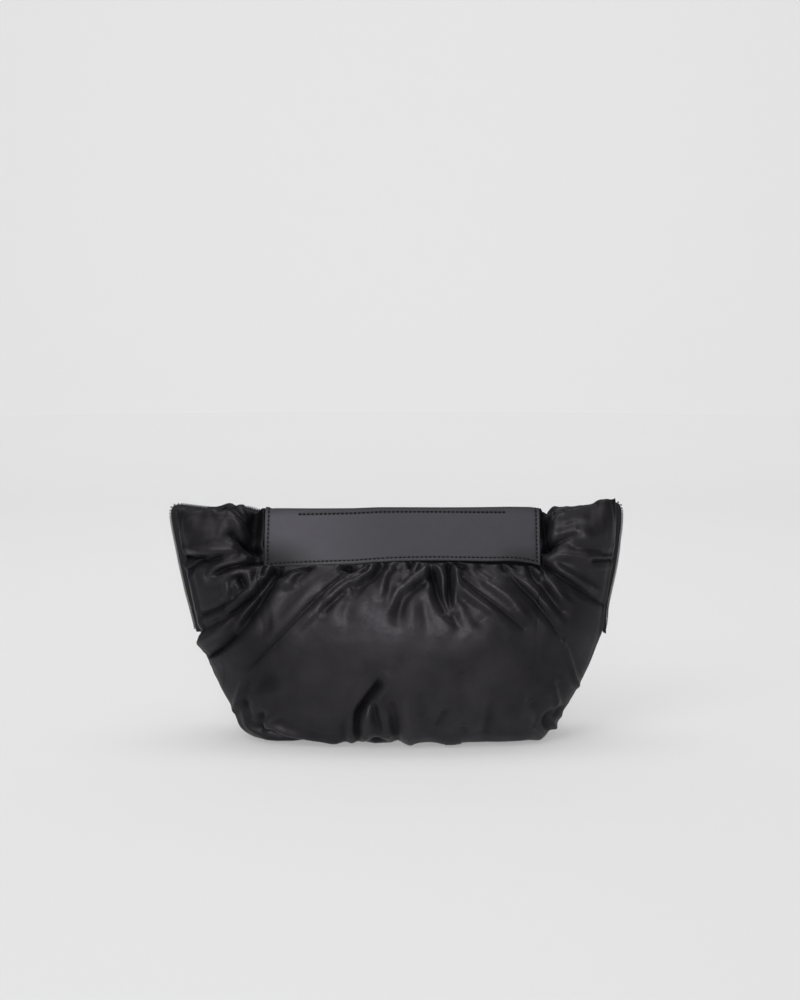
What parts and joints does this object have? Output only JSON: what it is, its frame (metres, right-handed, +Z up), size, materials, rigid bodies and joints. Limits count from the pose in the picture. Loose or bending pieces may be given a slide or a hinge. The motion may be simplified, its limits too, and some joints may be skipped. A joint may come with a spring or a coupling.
{
  "type": "clutch bag",
  "caption": "Padded satin clutch bag with gathered panels, leather trim rolled over the mouth, a zip over the mouth and down both sides, and a flat gusset under the base.",
  "frame": {"origin": "on the floor, below the middle of the bag", "axes": "+X along the bag's width to the right as seen from the front, +Y from the front to the back, +Z up"},
  "size_m": [0.3786, 0.1284, 0.2038],
  "materials": {
    "satin": "black padded satin with a soft sheen",
    "leather": "fine-grained charcoal leather, low sheen",
    "zip_tape": "black woven herringbone tape",
    "zip_teeth": "black nylon coil",
    "slider": "black painted metal",
    "gusset": "black woven fabric strip"
  },
  "bodies": {
    "root": {"front_panel": "satin", "back_panel": "satin", "leather_front": "leather", "leather_back": "leather", "zip_tape": "zip_tape", "zip_coil": "zip_teeth", "zip_slider": "slider", "base_gusset": "gusset"}
  },
  "joints": []
}
